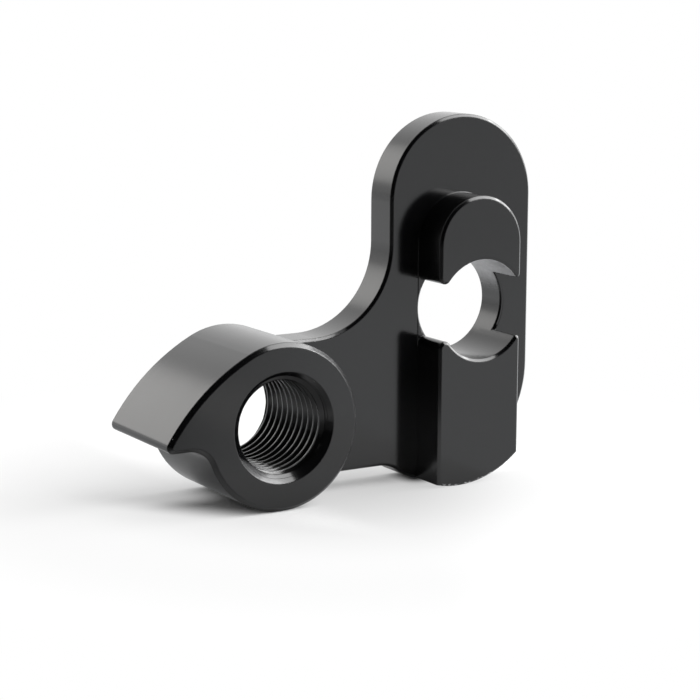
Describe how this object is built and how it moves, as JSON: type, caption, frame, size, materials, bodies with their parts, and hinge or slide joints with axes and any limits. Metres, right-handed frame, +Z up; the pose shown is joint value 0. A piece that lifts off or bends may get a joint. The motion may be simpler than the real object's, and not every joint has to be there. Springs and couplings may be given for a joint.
{
  "type": "derailleur hanger",
  "caption": "Bicycle derailleur hanger: a threaded boss with a stop nose, joined by an arm to an upright plate with an axle hole and a split locating tongue.",
  "frame": {"origin": "centre of the threaded hole at the front face of the boss, the face the derailleur seats on", "axes": "+Y along the threaded hole, from the front face of the boss to the back; +X from the boss along the plate, +Z up towards the plate's round end"},
  "size_m": [0.0435, 0.0128, 0.0369],
  "materials": {
    "anodised_aluminium": "satin black anodised, machined"
  },
  "bodies": {
    "root": {"hanger_body": "anodised_aluminium"}
  },
  "joints": []
}
